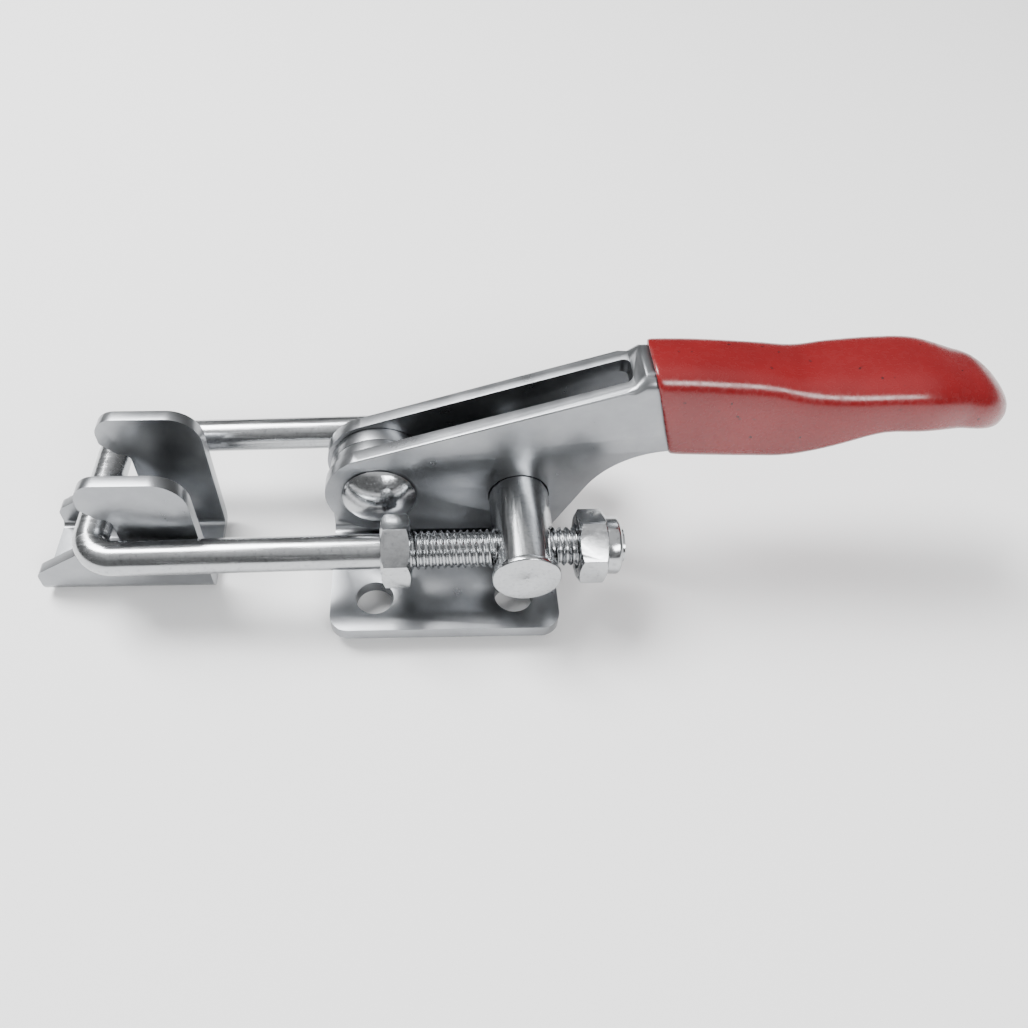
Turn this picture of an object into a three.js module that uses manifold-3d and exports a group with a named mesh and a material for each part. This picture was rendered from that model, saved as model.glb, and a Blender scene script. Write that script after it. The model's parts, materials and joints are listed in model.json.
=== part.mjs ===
// A pull-action U-bolt latch clamp, shut on its keeper plate.
// Millimetres. X runs along the clamp from the keeper to the grip, Y to the rear rod, and Z up. The pieces
// are made with Z 0 at the underside of the base, then raised so that it is at the keeper's underside.
import * as THREE from "three";
import { mergeVertices } from "three/addons/utils/BufferGeometryUtils.js";
import Module from "manifold-3d";

const wasm = await Module();
wasm.setup();

// Base: two pressed L brackets, back to back.
const BASE_LENGTH = 36;
const BASE_WIDTH = 46;
const BASE_SHEET = 2.3;
const BASE_CORNER_RADIUS = 3;
const BASE_BEND_RADIUS = 1.5;
const HOLE_DIAMETER = 6;
const HOLE_PITCH_ALONG = 22;
const HOLE_PITCH_ACROSS = 34;
const EAR_SHOULDER_RADIUS = 3;

// Pivot rivet, through both ears and both side plates of the handle.
const PIVOT_FROM_END = 7.95; // from the left end of the base
const PIVOT_HEIGHT = 12.9;
const RIVET_DIAMETER = 6.5;
const RIVET_HEAD_DIAMETER = 12;
const RIVET_HEAD_HEIGHT = 3;
const RIVET_TAIL_DIAMETER = 9.5;
const RIVET_TAIL_DEPTH = 1.4;

// Handle: a pressed channel, open along the top as far as the web.
const HANDLE_SHEET = 2.3;
const HANDLE_END_RADIUS = 8.6;
const HANDLE_SLOPE = 18.8 * THREE.MathUtils.DEG2RAD;
const SLOT_REACH = 37.2; // from the pivot to the end of the slot
const SLOT_CORNER_RADIUS = 1.2;
const WEB_EDGE_RADIUS = 2.4;
const WEB_RISE = 1.8; // of the web's crest above the side plates at the end of the slot
const WEB_RAMP = 1.3; // from the end of the slot to the crest
const WEB_CREST_LENGTH = 3;
const WEB_FALL = 8; // from the crest to the level top of the tongue
const TONGUE_LENGTH = 44; // from the end of the slot to the tip of the steel, inside the grip
const TONGUE_DROP = 2; // from the crest to the top of the tongue
const TONGUE_DEPTH = 11.7;
const TONGUE_TIP_DEPTH = 4.6;
const TONGUE_TAPER_START = 22; // from the end of the slot
const TONGUE_TAPER_LENGTH = 12;
const NECK_FLARE = 0.8; // how far the belly drops from the tongue to the mouth of the grip
const HANDLE_HEEL = 5.7; // from the cross shaft to the underside's corner

// Grip: a dipped plastic sleeve over the tongue of the handle.
const GRIP_MOUTH = 4.8; // from the end of the slot to the middle of the mouth
const GRIP_TIP_LENGTH = 8.7;
const GRIP_TIP_DROP = 4;
const GRIP_SQUARENESS = 0.5; // of its sections: 1 makes them ellipses, and 0 rectangles

// Cross shaft: a pin with a flange at each end, which the two rods of the U-bolt pass through.
const SHAFT_REACH = 22.1; // from the pivot to the shaft
const SHAFT_DROP = 0.4; // below the pivot
const SHAFT_DIAMETER = 9.4;
const SHAFT_FLANGE_RIM = 0.4; // how far the flange stands out from the shaft
const SHAFT_FLANGE_THICKNESS = 1;

// U-bolt, with M6 threads on its ends.
const THREAD_DIAMETER = 5.9;
const ROD_DIAMETER = THREAD_DIAMETER - 0.5; // the thread is rolled, so it stands out from the rod
const THREAD_LENGTH = 35;
const ROD_SPACING = 25.6;
const ROD_BEND_RADIUS = 4.5; // of the centre line
const BOLT_REACH = 66.6; // from the cross shaft to the crossbar
const ROD_TAIL = 14.9; // from the cross shaft to the ends of the rods
const ROD_TILT = 1.15 * THREE.MathUtils.DEG2RAD; // the crossbar sits lower than the cross shaft
const END_CHAMFER = 0.6;

// Nuts, M6, sized by the thread.
const NUT_ACROSS_FLATS = THREAD_DIAMETER + 3.9;
const JAM_NUT_THICKNESS = 4.4;
const FRONT_JAM_NUT_GAP = 12.4; // free thread between the jam nut and the cross shaft
const REAR_JAM_NUT_GAP = 1;
const LOCK_NUT_GAP = 3.2; // free thread between the cross shaft and the lock nut
const LOCK_NUT_HEX_THICKNESS = 4.2;
const LOCK_NUT_COLLAR_THICKNESS = 2.2;
const LOCK_NUT_COLLAR_DIAMETER = THREAD_DIAMETER + 2.9;
const INSERT_THICKNESS = 1.4;
const INSERT_WALL = 0.7;
const COLLAR_LIP = 0.4;
const NUT_TURN = 3 * THREE.MathUtils.DEG2RAD;
const REAR_JAM_NUT_TURN = 40 * THREE.MathUtils.DEG2RAD;

// Keeper plate: a pressed channel with a hook cut in each flange.
const KEEPER_SHEET = 2;
const KEEPER_WIDTH = 15.4;
const KEEPER_DROP = 2.5; // from the underside of the base to the keeper's
const KEEPER_HEEL = 16.9; // from the crossbar to the straight end
const KEEPER_TOE = 10.9; // from the crossbar to the toe
const KEEPER_TOE_HEIGHT = 5.7;
const KEEPER_TOE_RADIUS = 1.8;
const KEEPER_NOSE_THICKNESS = 7.5; // above the notch
const KEEPER_NOSE_RADIUS = 3.4;
const KEEPER_NOSE_SETBACK = 0.7; // from the middle of the crossbar to the tip of the nose
const KEEPER_NOSE_CHAMFER = 2.3; // under the tip of the nose
const KEEPER_SHOULDER_RADIUS = 5;
const KEEPER_BEND_RADIUS = 1;
const KEEPER_HOLE_DIAMETER = 5;
const KEEPER_HOLE_FROM_HEEL = 7;
const KEEPER_HOLE_PITCH = 11.4;

// Clearances.
const FACE_PLAY = 0.1; // between faces that slide on each other
const BORE_PLAY = 0.15; // round a pin in its hole
const ROD_PLAY = 0.2; // round a thread in a hole or a nut
const FIT = 0.05; // between pieces that are pressed together
const HOOK_PLAY_BELOW = 0.3; // under the crossbar, in the notch
const HOOK_PLAY_ABOVE = 3;
const HOOK_PLAY_BEHIND = 2.15;
const ROD_TO_KEEPER = 0.3;
const SHAFT_TO_EAR = 0.25;
const GRIP_GAP = 0.2; // round the tongue

const SEGMENTS = 40; // round a pin or a hole
const ARC_SEGMENTS = 14; // along each round stretch of an outline
const OVERCUT = 5; // how far a cutting body runs past what it cuts

// Worked out from the sizes above.
const EAR_OUTER = FIT + BASE_SHEET;
const HANDLE_INNER = EAR_OUTER + FACE_PLAY;
const HANDLE_OUTER = HANDLE_INNER + HANDLE_SHEET;
const PIVOT_X = PIVOT_FROM_END - BASE_LENGTH / 2;
const SHAFT_X = PIVOT_X + SHAFT_REACH;
const SHAFT_Z = PIVOT_HEIGHT - SHAFT_DROP;
const SHAFT_RADIUS = SHAFT_DIAMETER / 2;
const SLOT_END = PIVOT_X + SLOT_REACH;
const NUT_CORNER_RADIUS = NUT_ACROSS_FLATS / Math.sqrt(3);
const ROD_HALF_SPACING = ROD_SPACING / 2;
const SHAFT_HALF_LENGTH = ROD_HALF_SPACING + NUT_CORNER_RADIUS + SHAFT_FLANGE_THICKNESS / 3;
// The U-bolt and its shaft lie pushed to the front, with the rear nuts just clear of the handle.
const SIDE_SHIFT = ROD_HALF_SPACING - NUT_CORNER_RADIUS - HANDLE_OUTER - FACE_PLAY;
const CROSSBAR_X = SHAFT_X - BOLT_REACH * Math.cos(ROD_TILT);
const CROSSBAR_Z = SHAFT_Z - BOLT_REACH * Math.sin(ROD_TILT);
const FAR = BASE_LENGTH + BASE_WIDTH + BOLT_REACH + TONGUE_LENGTH; // longer than any piece

// ---------- Solids ----------

// A closed three.js geometry as a manifold-3d solid.
function solid(geometry) {
  const bare = geometry.clone();
  bare.deleteAttribute("normal");
  bare.deleteAttribute("uv");
  const merged = mergeVertices(bare, 1e-4);
  return new wasm.Manifold(
    new wasm.Mesh({
      numProp: 3,
      vertProperties: merged.attributes.position.array,
      triVerts: new Uint32Array(merged.index.array),
    }),
  );
}

function geometryOf(body) {
  const mesh = body.getMesh();
  const geometry = new THREE.BufferGeometry();
  geometry.setAttribute("position", new THREE.BufferAttribute(mesh.vertProperties, 3));
  geometry.setIndex(new THREE.BufferAttribute(mesh.triVerts, 1));
  const flat = geometry.toNonIndexed();
  flat.computeVertexNormals();
  return flat;
}

function extruded(shape, depth) {
  return new THREE.ExtrudeGeometry(shape, {
    depth,
    bevelEnabled: false,
    curveSegments: ARC_SEGMENTS,
  });
}

// An outline in X and Z, between two values of Y.
function acrossPlate(shape, yFrom, yTo) {
  const geometry = extruded(shape, yTo - yFrom);
  geometry.rotateX(Math.PI / 2);
  geometry.translate(0, yTo, 0);
  return solid(geometry);
}

// An outline in X and Y, between two values of Z.
function flatPlate(shape, zFrom, zTo) {
  const geometry = extruded(shape, zTo - zFrom);
  geometry.translate(0, 0, zFrom);
  return solid(geometry);
}

// An outline in Y and Z, between two values of X.
function alongBar(shape, xFrom, xTo) {
  const geometry = extruded(shape, xTo - xFrom);
  geometry.rotateX(Math.PI / 2);
  geometry.rotateZ(Math.PI / 2);
  geometry.translate(xFrom, 0, 0);
  return solid(geometry);
}

// A body turned about the Y axis, from [radius, y] points that start and end on the axis.
function turnedAboutY(profile, segments = SEGMENTS) {
  const points = profile.map(([radius, y]) => new THREE.Vector2(radius, y));
  return new THREE.LatheGeometry(points, segments);
}

function pinAlongY(radius, yFrom, yTo) {
  return turnedAboutY([
    [0, yFrom],
    [radius, yFrom],
    [radius, yTo],
    [0, yTo],
  ]);
}

function holeAlongY(radius, x, z, length = FAR) {
  return solid(pinAlongY(radius, -length / 2, length / 2).translate(x, 0, z));
}

function holeAlongZ(radius, x, y) {
  return solid(pinAlongY(radius, -FAR / 2, FAR / 2).rotateX(Math.PI / 2).translate(x, y, 0));
}

function holeAlongX(radius, y, z) {
  return solid(pinAlongY(radius, -FAR / 2, FAR / 2).rotateZ(-Math.PI / 2).translate(0, y, z));
}

// Adds [x, y, radius] corners to a path, each rounded by its radius towards the next one.
// The last corner is where the path ends, and isn't rounded.
function addCorners(path, corners) {
  for (let i = 0; i < corners.length - 1; i++) {
    const corner = new THREE.Vector2(corners[i][0], corners[i][1]);
    const next = new THREE.Vector2(corners[i + 1][0], corners[i + 1][1]);
    const inward = path.currentPoint.clone().sub(corner).normalize();
    const onward = next.sub(corner).normalize();
    const halfAngle = Math.acos(THREE.MathUtils.clamp(inward.dot(onward), -1, 1)) / 2;
    const radius = corners[i][2];
    const setback = radius / Math.tan(halfAngle);
    const start = corner.clone().addScaledVector(inward, setback);
    const end = corner.clone().addScaledVector(onward, setback);
    const centre = inward.clone().add(onward).normalize();
    centre.multiplyScalar(radius / Math.sin(halfAngle)).add(corner);
    const clockwise = inward.cross(onward) > 0;
    path.lineTo(start.x, start.y);
    path.absarc(
      centre.x,
      centre.y,
      radius,
      Math.atan2(start.y - centre.y, start.x - centre.x),
      Math.atan2(end.y - centre.y, end.x - centre.x),
      clockwise,
    );
  }
  const [x, y] = corners.at(-1);
  path.lineTo(x, y);
}

function roundedOutline(start, corners) {
  const shape = new THREE.Shape();
  shape.moveTo(start[0], start[1]);
  addCorners(shape, [...corners, start]);
  return shape;
}

function roundedRectangle(halfLength, halfWidth, radius) {
  return roundedOutline([0, -halfWidth], [
    [halfLength, -halfWidth, radius],
    [halfLength, halfWidth, radius],
    [-halfLength, halfWidth, radius],
    [-halfLength, -halfWidth, radius],
  ]);
}

// A closed skin over rings that all have the same number of points.
function loft(rings) {
  const count = rings[0].length;
  const positions = rings.flat().flatMap((point) => point.toArray());
  const index = [];
  for (let ring = 0; ring < rings.length - 1; ring++) {
    for (let i = 0; i < count; i++) {
      const a = ring * count + i;
      const b = ring * count + ((i + 1) % count);
      index.push(a, b, a + count, b, b + count, a + count);
    }
  }
  const last = (rings.length - 1) * count;
  for (let i = 1; i < count - 1; i++) {
    index.push(0, i + 1, i);
    index.push(last, last + i, last + i + 1);
  }
  const geometry = new THREE.BufferGeometry();
  geometry.setAttribute("position", new THREE.Float32BufferAttribute(positions, 3));
  geometry.setIndex(index);
  return solid(geometry);
}

// ---------- Base ----------

// The side of a bracket: its plate seen edge on, and the ear that carries the rivet.
function earOutline() {
  const half = BASE_LENGTH / 2;
  const shelf = SHAFT_Z - SHAFT_RADIUS - SHAFT_TO_EAR;
  const shoulderX = SHAFT_X - SHAFT_RADIUS;
  const leaveAngle = 35 * THREE.MathUtils.DEG2RAD;
  const shape = new THREE.Shape();
  shape.moveTo(-half, 0);
  shape.lineTo(-half, PIVOT_HEIGHT);
  shape.absarc(PIVOT_X, PIVOT_HEIGHT, PIVOT_FROM_END, Math.PI, leaveAngle, true);
  addCorners(shape, [
    [shoulderX - 0.8 * EAR_SHOULDER_RADIUS, PIVOT_HEIGHT - 1, EAR_SHOULDER_RADIUS],
    [shoulderX, shelf, EAR_SHOULDER_RADIUS / 2],
    [half, shelf, EAR_SHOULDER_RADIUS],
    [half, 0],
  ]);
  return shape;
}

// The section of a bracket in Y and Z: the plate to the front, and the ear at the middle.
function bracketSection() {
  const outerBend = BASE_BEND_RADIUS + BASE_SHEET;
  const top = PIVOT_HEIGHT + PIVOT_FROM_END + OVERCUT;
  const front = -BASE_WIDTH / 2;
  const shape = new THREE.Shape();
  shape.moveTo(front, 0);
  addCorners(shape, [
    [-FIT, 0, outerBend],
    [-FIT, top],
  ]);
  shape.lineTo(-EAR_OUTER, top);
  addCorners(shape, [
    [-EAR_OUTER, BASE_SHEET, BASE_BEND_RADIUS],
    [front, BASE_SHEET],
  ]);
  return shape;
}

function baseBracket() {
  const half = BASE_LENGTH / 2;
  const plan = roundedRectangle(half, BASE_WIDTH / 2, BASE_CORNER_RADIUS);
  let bracket = alongBar(bracketSection(), -half, half)
    .intersect(acrossPlate(earOutline(), -FAR, FAR))
    .intersect(flatPlate(plan, -FAR, FAR));
  for (const side of [-1, 1]) {
    const x = (side * HOLE_PITCH_ALONG) / 2;
    bracket = bracket.subtract(holeAlongZ(HOLE_DIAMETER / 2, x, -HOLE_PITCH_ACROSS / 2));
  }
  return bracket.subtract(holeAlongY(RIVET_DIAMETER / 2 + FIT, PIVOT_X, PIVOT_HEIGHT));
}

// A domed head in front, and a tail set flush in the countersink of the rear side plate.
function pivotRivet() {
  const radius = RIVET_DIAMETER / 2;
  const headRadius = RIVET_HEAD_DIAMETER / 2;
  const headFace = -HANDLE_OUTER - FACE_PLAY;
  const sphere = (headRadius ** 2 + RIVET_HEAD_HEIGHT ** 2) / (2 * RIVET_HEAD_HEIGHT);
  const spread = Math.asin(headRadius / sphere);
  const dome = [];
  const steps = 7;
  for (let i = 0; i <= steps; i++) {
    const angle = (spread * i) / steps;
    const y = headFace - RIVET_HEAD_HEIGHT + sphere * (1 - Math.cos(angle));
    dome.push([sphere * Math.sin(angle), y]);
  }
  const geometry = turnedAboutY([
    ...dome,
    [radius, headFace],
    [radius, HANDLE_OUTER - RIVET_TAIL_DEPTH],
    [RIVET_TAIL_DIAMETER / 2, HANDLE_OUTER],
    [0, HANDLE_OUTER],
  ]);
  return solid(geometry.translate(PIVOT_X, 0, PIVOT_HEIGHT));
}

// ---------- Handle ----------

// Where the straight top edge of the side plates is at a given X.
function plateTop(x) {
  const touch = HANDLE_END_RADIUS / Math.cos(HANDLE_SLOPE);
  return PIVOT_HEIGHT + touch + (x - PIVOT_X) * Math.tan(HANDLE_SLOPE);
}

// The web rises from the slot to a crest, and falls to a tongue with a level top inside the grip.
const CREST_X = SLOT_END + WEB_RAMP;
const CREST_END = CREST_X + WEB_CREST_LENGTH;
const CREST_TOP = plateTop(SLOT_END) + WEB_RISE;
const TONGUE_START = CREST_END + WEB_FALL;
const TONGUE_TIP = SLOT_END + TONGUE_LENGTH;
const TONGUE_TOP = CREST_TOP - TONGUE_DROP;
const BELLY = TONGUE_TOP - TONGUE_DEPTH;
const TAPER_START = SLOT_END + TONGUE_TAPER_START;
const TAPER_END = TAPER_START + TONGUE_TAPER_LENGTH;

function topCorners(drop) {
  return [
    [TONGUE_TIP, TONGUE_TOP - drop, 1],
    [TONGUE_START, TONGUE_TOP - drop, 30],
    [CREST_END, CREST_TOP - drop, 5],
    [CREST_X, CREST_TOP - drop, 1.2],
    [SLOT_END, plateTop(SLOT_END) - drop, 0.8],
  ];
}

function handleOutline() {
  const tilt = Math.PI / 2 + HANDLE_SLOPE;
  const floor = PIVOT_HEIGHT - HANDLE_END_RADIUS;
  const tipBelly = TONGUE_TOP - TONGUE_TIP_DEPTH;
  const shape = new THREE.Shape();
  shape.absarc(PIVOT_X, PIVOT_HEIGHT, HANDLE_END_RADIUS, tilt, (3 * Math.PI) / 2, false);
  addCorners(shape, [
    [SHAFT_X + HANDLE_HEEL, floor, 2],
    [SLOT_END - 1, BELLY - 0.6, 14],
    [TAPER_START, BELLY, 12],
    [TAPER_END, tipBelly - 1, 12],
    [TONGUE_TIP, tipBelly, 1],
    ...topCorners(0),
    [PIVOT_X + HANDLE_END_RADIUS * Math.cos(tilt), PIVOT_HEIGHT + HANDLE_END_RADIUS * Math.sin(tilt)],
  ]);
  return shape;
}

// What lies under the web: all below its inner face, out past both ends.
function underWeb() {
  const farTop = plateTop(PIVOT_X - FAR) - HANDLE_SHEET;
  const shape = new THREE.Shape();
  shape.moveTo(PIVOT_X - FAR, farTop);
  shape.lineTo(PIVOT_X - FAR, -FAR);
  shape.lineTo(FAR, -FAR);
  shape.lineTo(FAR, TONGUE_TOP - HANDLE_SHEET);
  addCorners(shape, [...topCorners(HANDLE_SHEET).slice(1), [PIVOT_X - FAR, farTop]]);
  return shape;
}

// The slot in the top of the handle, square where the web starts.
function slotOutline() {
  return roundedOutline([-FAR, 0], [
    [-FAR, -HANDLE_INNER, SLOT_CORNER_RADIUS],
    [SLOT_END, -HANDLE_INNER, SLOT_CORNER_RADIUS],
    [SLOT_END, HANDLE_INNER, SLOT_CORNER_RADIUS],
    [-FAR, HANDLE_INNER, SLOT_CORNER_RADIUS],
  ]);
}

// A section ring across X, with its lower and upper corners rounded.
function sectionRing(x, halfWidth, bottom, top, lowerRadius, upperRadius) {
  const steps = 6;
  const right = Math.PI / 2;
  const corners = [
    { y: halfWidth - lowerRadius, z: bottom + lowerRadius, radius: lowerRadius, from: -right },
    { y: halfWidth - upperRadius, z: top - upperRadius, radius: upperRadius, from: 0 },
    { y: upperRadius - halfWidth, z: top - upperRadius, radius: upperRadius, from: right },
    { y: lowerRadius - halfWidth, z: bottom + lowerRadius, radius: lowerRadius, from: 2 * right },
  ];
  const ring = [];
  for (const { y, z, radius, from } of corners) {
    for (let i = 0; i <= steps; i++) {
      const angle = from + (right * i) / steps;
      ring.push(new THREE.Vector3(x, y + radius * Math.cos(angle), z + radius * Math.sin(angle)));
    }
  }
  return ring;
}

// The outside of the channel: the side plates' cut edges are sharp, and the web's are rounded.
function handleEnvelope() {
  const sharp = 0.3;
  const stations = [
    [-FAR, plateTop(-FAR), sharp],
    [SLOT_END - WEB_RAMP, plateTop(SLOT_END - WEB_RAMP), sharp],
    [SLOT_END, plateTop(SLOT_END), WEB_EDGE_RADIUS / 2],
    [CREST_X, CREST_TOP, WEB_EDGE_RADIUS],
    [CREST_END, CREST_TOP, WEB_EDGE_RADIUS],
    [TONGUE_START, TONGUE_TOP, WEB_EDGE_RADIUS],
    [FAR, TONGUE_TOP, WEB_EDGE_RADIUS],
  ];
  return loft(
    stations.map(([x, top, radius]) => sectionRing(x, HANDLE_OUTER, -FAR, top, sharp, radius)),
  );
}

function handleChannel() {
  const countersink = turnedAboutY([
    [0, HANDLE_OUTER - RIVET_TAIL_DEPTH - BORE_PLAY],
    [RIVET_DIAMETER / 2, HANDLE_OUTER - RIVET_TAIL_DEPTH - BORE_PLAY],
    [RIVET_TAIL_DIAMETER / 2, HANDLE_OUTER - BORE_PLAY],
    [RIVET_TAIL_DIAMETER / 2 + OVERCUT, HANDLE_OUTER - BORE_PLAY + OVERCUT],
    [0, HANDLE_OUTER - BORE_PLAY + OVERCUT],
  ]);
  return acrossPlate(handleOutline(), -HANDLE_OUTER, HANDLE_OUTER)
    .intersect(handleEnvelope())
    .subtract(acrossPlate(underWeb(), -HANDLE_INNER, HANDLE_INNER))
    .subtract(flatPlate(slotOutline(), -FAR, FAR))
    .subtract(holeAlongY(RIVET_DIAMETER / 2 + BORE_PLAY, PIVOT_X, PIVOT_HEIGHT))
    .subtract(solid(countersink.translate(PIVOT_X, 0, PIVOT_HEIGHT)))
    .subtract(holeAlongY(SHAFT_RADIUS + BORE_PLAY, SHAFT_X, SHAFT_Z));
}

// ---------- Grip ----------

// Stations of the grip from its mouth to where its tip starts: how far on from the mouth, how far the
// middle lies below the top of the tongue, half the width, half the height and the tilt of the section.
const GRIP_STATIONS = [
  { on: 0, down: 5.45, halfWidth: 5.86, halfHeight: 8.73, tilt: 17 },
  { on: 6, down: 5.66, halfWidth: 6.02, halfHeight: 8.36, tilt: 6 },
  { on: 14, down: 6.12, halfWidth: 6.12, halfHeight: 7.99, tilt: 0 },
  { on: 20, down: 6.3, halfWidth: 6.63, halfHeight: 7.23, tilt: 0 },
  { on: 26, down: 4.87, halfWidth: 7.3, halfHeight: 6.06, tilt: 0 },
  { on: 32, down: 3.36, halfWidth: 7.45, halfHeight: 4.94, tilt: 0 },
  { on: 38, down: 3.38, halfWidth: 7.42, halfHeight: 5.05, tilt: 0 },
  { on: 44, down: 4.27, halfWidth: 6.36, halfHeight: 4.46, tilt: 0 },
];
const GRIP_MOUTH_X = SLOT_END + GRIP_MOUTH;

// A section of the grip: a squarish oval, upright at first, and turned by its tilt.
function gripRing({ x, z, halfWidth, halfHeight, tilt }) {
  const sides = 36;
  const turn = new THREE.Matrix4().makeRotationY(-tilt);
  turn.setPosition(x, 0, z);
  const ring = [];
  for (let i = 0; i < sides; i++) {
    const angle = (2 * Math.PI * i) / sides;
    const point = new THREE.Vector3(0, squared(Math.cos(angle)), squared(Math.sin(angle)));
    point.multiply(new THREE.Vector3(1, halfWidth, halfHeight));
    ring.push(point.applyMatrix4(turn));
  }
  return ring;
}

function squared(value) {
  return Math.sign(value) * Math.abs(value) ** GRIP_SQUARENESS;
}

// Sections of the grip, smoothly between its stations, then round the tip.
function gripSections() {
  const steps = 28;
  const spine = new THREE.CatmullRomCurve3(
    GRIP_STATIONS.map(({ on, down }) => new THREE.Vector3(GRIP_MOUTH_X + on, 0, TONGUE_TOP - down)),
    false,
    "catmullrom",
  );
  const sizes = new THREE.CatmullRomCurve3(
    GRIP_STATIONS.map(({ halfWidth, halfHeight, tilt }) => new THREE.Vector3(halfWidth, halfHeight, tilt)),
    false,
    "catmullrom",
  );
  const sections = [];
  for (let i = 0; i <= steps; i++) {
    const place = spine.getPoint(i / steps);
    const size = sizes.getPoint(i / steps);
    sections.push({
      x: place.x,
      z: place.z,
      halfWidth: size.x,
      halfHeight: size.y,
      tilt: size.z * THREE.MathUtils.DEG2RAD,
    });
  }
  return [...sections, ...gripTip(sections.at(-1))];
}

// The tip closes like a quarter of an ellipse, and droops.
function gripTip(last) {
  const steps = 8;
  const endAngle = 87 * THREE.MathUtils.DEG2RAD;
  const sections = [];
  for (let i = 1; i <= steps; i++) {
    const angle = (endAngle * i) / steps;
    sections.push({
      x: last.x + GRIP_TIP_LENGTH * Math.sin(angle),
      z: last.z - GRIP_TIP_DROP * Math.sin(angle) ** 1.5,
      halfWidth: last.halfWidth * Math.cos(angle),
      halfHeight: last.halfHeight * Math.cos(angle) ** 0.8,
      tilt: 0,
    });
  }
  return sections;
}

// The space that the tongue fills, from outside the mouth to its tip.
function gripHollow() {
  const tipBelly = TONGUE_TOP - TONGUE_TIP_DEPTH;
  const stations = [
    [CREST_X - GRIP_MOUTH, BELLY - 3 * NECK_FLARE, CREST_TOP],
    [CREST_END, BELLY - NECK_FLARE, CREST_TOP],
    [TONGUE_START, BELLY - NECK_FLARE / 3, TONGUE_TOP + GRIP_GAP],
    [TAPER_START, BELLY, TONGUE_TOP],
    [TAPER_END, tipBelly - 1, TONGUE_TOP],
    [TONGUE_TIP + GRIP_GAP, tipBelly, TONGUE_TOP],
  ];
  const rings = stations.map(([x, bottom, top]) =>
    sectionRing(x, HANDLE_OUTER + GRIP_GAP, bottom - GRIP_GAP, top + GRIP_GAP, GRIP_GAP, WEB_EDGE_RADIUS),
  );
  return loft(rings);
}

function handleGrip() {
  return loft(gripSections().map(gripRing)).subtract(gripHollow());
}

// ---------- Cross shaft and U-bolt, about the middle of the shaft ----------

function crossShaft() {
  const flange = SHAFT_RADIUS + SHAFT_FLANGE_RIM;
  const inner = SHAFT_HALF_LENGTH - SHAFT_FLANGE_THICKNESS;
  const dimple = 0.7;
  const profile = [
    [0, -SHAFT_HALF_LENGTH + dimple / 2],
    [dimple, -SHAFT_HALF_LENGTH],
    [flange, -SHAFT_HALF_LENGTH],
    [flange, -inner],
    [SHAFT_RADIUS, -inner],
    [SHAFT_RADIUS, inner],
    [flange, inner],
    [flange, SHAFT_HALF_LENGTH],
    [0, SHAFT_HALF_LENGTH],
  ];
  let shaft = solid(turnedAboutY(profile));
  for (const side of [-1, 1]) {
    shaft = shaft.subtract(holeAlongX(THREAD_DIAMETER / 2 + ROD_PLAY, side * ROD_HALF_SPACING, 0));
  }
  return shaft;
}

// A ring of a rod at a place in X and Y, facing along a heading.
function rodRing(x, y, heading, radius) {
  const sides = 20;
  const across = new THREE.Vector3(-Math.sin(heading), Math.cos(heading), 0);
  const ring = [];
  for (let i = 0; i < sides; i++) {
    const angle = (2 * Math.PI * i) / sides;
    const point = new THREE.Vector3(x, y, radius * Math.sin(angle));
    ring.push(point.addScaledVector(across, radius * Math.cos(angle)));
  }
  return ring;
}

// From the front rod's end, round the crossbar, to the rear rod's end.
function uBolt() {
  const plain = ROD_DIAMETER / 2;
  const thread = THREAD_DIAMETER / 2;
  const threadStart = ROD_TAIL - THREAD_LENGTH;
  const bendX = ROD_BEND_RADIUS - BOLT_REACH;
  const bendY = ROD_HALF_SPACING - ROD_BEND_RADIUS;
  const straight = [
    [ROD_TAIL, thread - END_CHAMFER],
    [ROD_TAIL - END_CHAMFER, thread],
    [threadStart, thread],
    [threadStart - END_CHAMFER, plain],
  ];
  const rings = straight.map(([x, radius]) => rodRing(x, -ROD_HALF_SPACING, Math.PI, radius));
  const bendSteps = 8;
  for (const side of [-1, 1]) {
    for (let i = 0; i <= bendSteps; i++) {
      const part = (Math.PI / 2) * (side < 0 ? i / bendSteps : 1 - i / bendSteps);
      const heading = side < 0 ? Math.PI - part : part;
      const x = bendX - ROD_BEND_RADIUS * Math.sin(part);
      const y = side * (bendY + ROD_BEND_RADIUS * Math.cos(part));
      rings.push(rodRing(x, y, heading, plain));
    }
  }
  for (const [x, radius] of straight.reverse()) {
    rings.push(rodRing(x, ROD_HALF_SPACING, 0, radius));
  }
  return loft(rings);
}

// ---------- Nuts, about the middle of the rod, with one face at X 0 ----------

function alongRod(geometry) {
  return geometry.rotateZ(-Math.PI / 2);
}

// A hexagon from X 0 to its thickness, its corners taken off where each end is chamfered.
function hexagon(thickness, chamferBothEnds) {
  const flat = NUT_ACROSS_FLATS / 2;
  const rise = (NUT_CORNER_RADIUS - flat + 0.2) * Math.tan(Math.PI / 6);
  const wide = NUT_CORNER_RADIUS + 0.2;
  const prism = new THREE.CylinderGeometry(NUT_CORNER_RADIUS, NUT_CORNER_RADIUS, thickness, 6);
  const blank = turnedAboutY([
    [0, 0],
    [chamferBothEnds ? flat : wide, 0],
    [wide, chamferBothEnds ? rise : 0.1],
    [wide, thickness - rise],
    [flat, thickness],
    [0, thickness],
  ]);
  const hex = solid(alongRod(prism.translate(0, thickness / 2, 0)));
  return hex.intersect(solid(alongRod(blank)));
}

function tapped(body) {
  return body.subtract(holeAlongX(THREAD_DIAMETER / 2 + ROD_PLAY, 0, 0));
}

function jamNut() {
  return tapped(hexagon(JAM_NUT_THICKNESS, true));
}

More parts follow.
